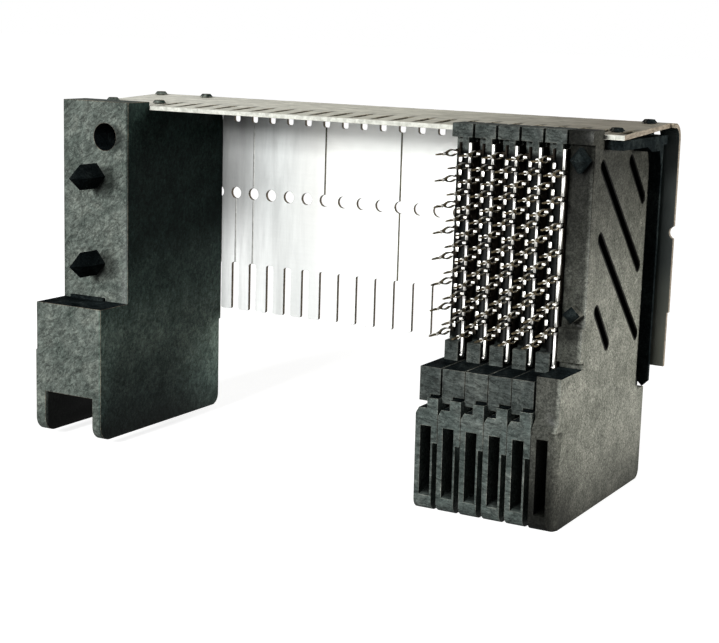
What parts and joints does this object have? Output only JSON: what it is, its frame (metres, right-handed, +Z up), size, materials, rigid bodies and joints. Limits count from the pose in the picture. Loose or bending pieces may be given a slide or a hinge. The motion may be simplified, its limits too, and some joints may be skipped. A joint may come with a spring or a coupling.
{
  "type": "backplane connector",
  "caption": "Right-angle backplane connector: wafers with needle-eye tails and a guide module, joined by a folded comb-edged metal organizer.",
  "frame": {"origin": "centre of the bounding box's base, on the plane that the wafers' feet stand on", "axes": "+X along the organizer from the guide module to the end wafer, +Y from the board side to the back, +Z up"},
  "size_m": [0.053, 0.0198, 0.0313],
  "materials": {
    "sheet_metal": "satin",
    "black_plastic": "matte, glass filled",
    "foot_plastic": "matte, glass filled",
    "contact_alloy": "bright plated",
    "shield_alloy": "bright plated"
  },
  "bodies": {
    "root": {"organizer": "sheet_metal", "guide_module": "black_plastic", "end_wafer": "black_plastic", "wafer_1_housing": "black_plastic", "wafer_1_foot": "foot_plastic", "wafer_1_signal_contacts": "contact_alloy", "wafer_1_shield": "shield_alloy", "wafer_2_housing": "black_plastic", "wafer_2_foot": "foot_plastic", "wafer_2_signal_contacts": "contact_alloy", "wafer_2_shield": "shield_alloy", "wafer_3_housing": "black_plastic", "wafer_3_foot": "foot_plastic", "wafer_3_signal_contacts": "contact_alloy", "wafer_3_shield": "shield_alloy", "wafer_4_housing": "black_plastic", "wafer_4_foot": "foot_plastic", "wafer_4_signal_contacts": "contact_alloy", "wafer_4_shield": "shield_alloy", "wafer_5_housing": "black_plastic", "wafer_5_foot": "foot_plastic", "wafer_5_signal_contacts": "contact_alloy", "wafer_5_shield": "shield_alloy"}
  },
  "joints": []
}
